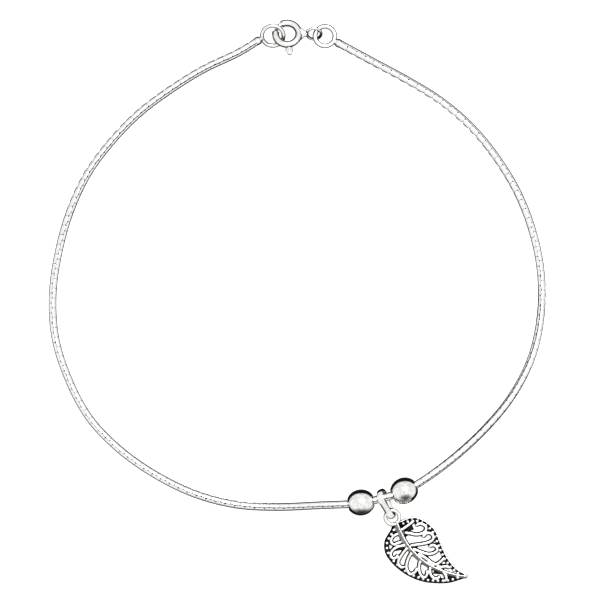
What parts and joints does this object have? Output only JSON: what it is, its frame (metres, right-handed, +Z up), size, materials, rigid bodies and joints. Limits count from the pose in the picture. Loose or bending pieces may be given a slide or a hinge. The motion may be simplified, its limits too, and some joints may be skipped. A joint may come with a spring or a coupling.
{
  "type": "anklet",
  "caption": "Snake-chain anklet, closed by a bolt ring, with round beads and a pierced filigree leaf charm that lies on a bail.",
  "frame": {"origin": "on the surface that the anklet lies on, under the centre of its bounding box", "axes": "+Z up from the surface; +Y through the loop towards the clasp, with the leaf at -Y; +X to the right of someone who looks at the clasp from the leaf"},
  "size_m": [0.0828, 0.094, 0.0044],
  "materials": {
    "snake_chain_silver": "polished silver snake chain",
    "polished_silver": "mirror polished",
    "oxidised_silver": "cast silver, polished on top and blackened in its recesses"
  },
  "bodies": {
    "anklet": {"snake_chain": "snake_chain_silver", "bead_left": "polished_silver", "bead_right": "polished_silver", "bail": "polished_silver", "leaf_charm": "oxidised_silver", "end_ring_left": "polished_silver", "end_ring_right": "polished_silver", "clasp_ring": "polished_silver"},
    "clasp_bolt": {"clasp_bolt": "polished_silver"}
  },
  "joints": [
    {"name": "bolt_slide", "type": "hinge", "parent": "anklet", "child": "clasp_bolt", "pos_m": [-0.00166, 0.0446, 0.00128], "axis": [0, 0.3584, 0.9336], "range_deg": [0, 42], "stiffness_Nm_per_rad": 0.002, "springref_deg": -17.19}
  ]
}
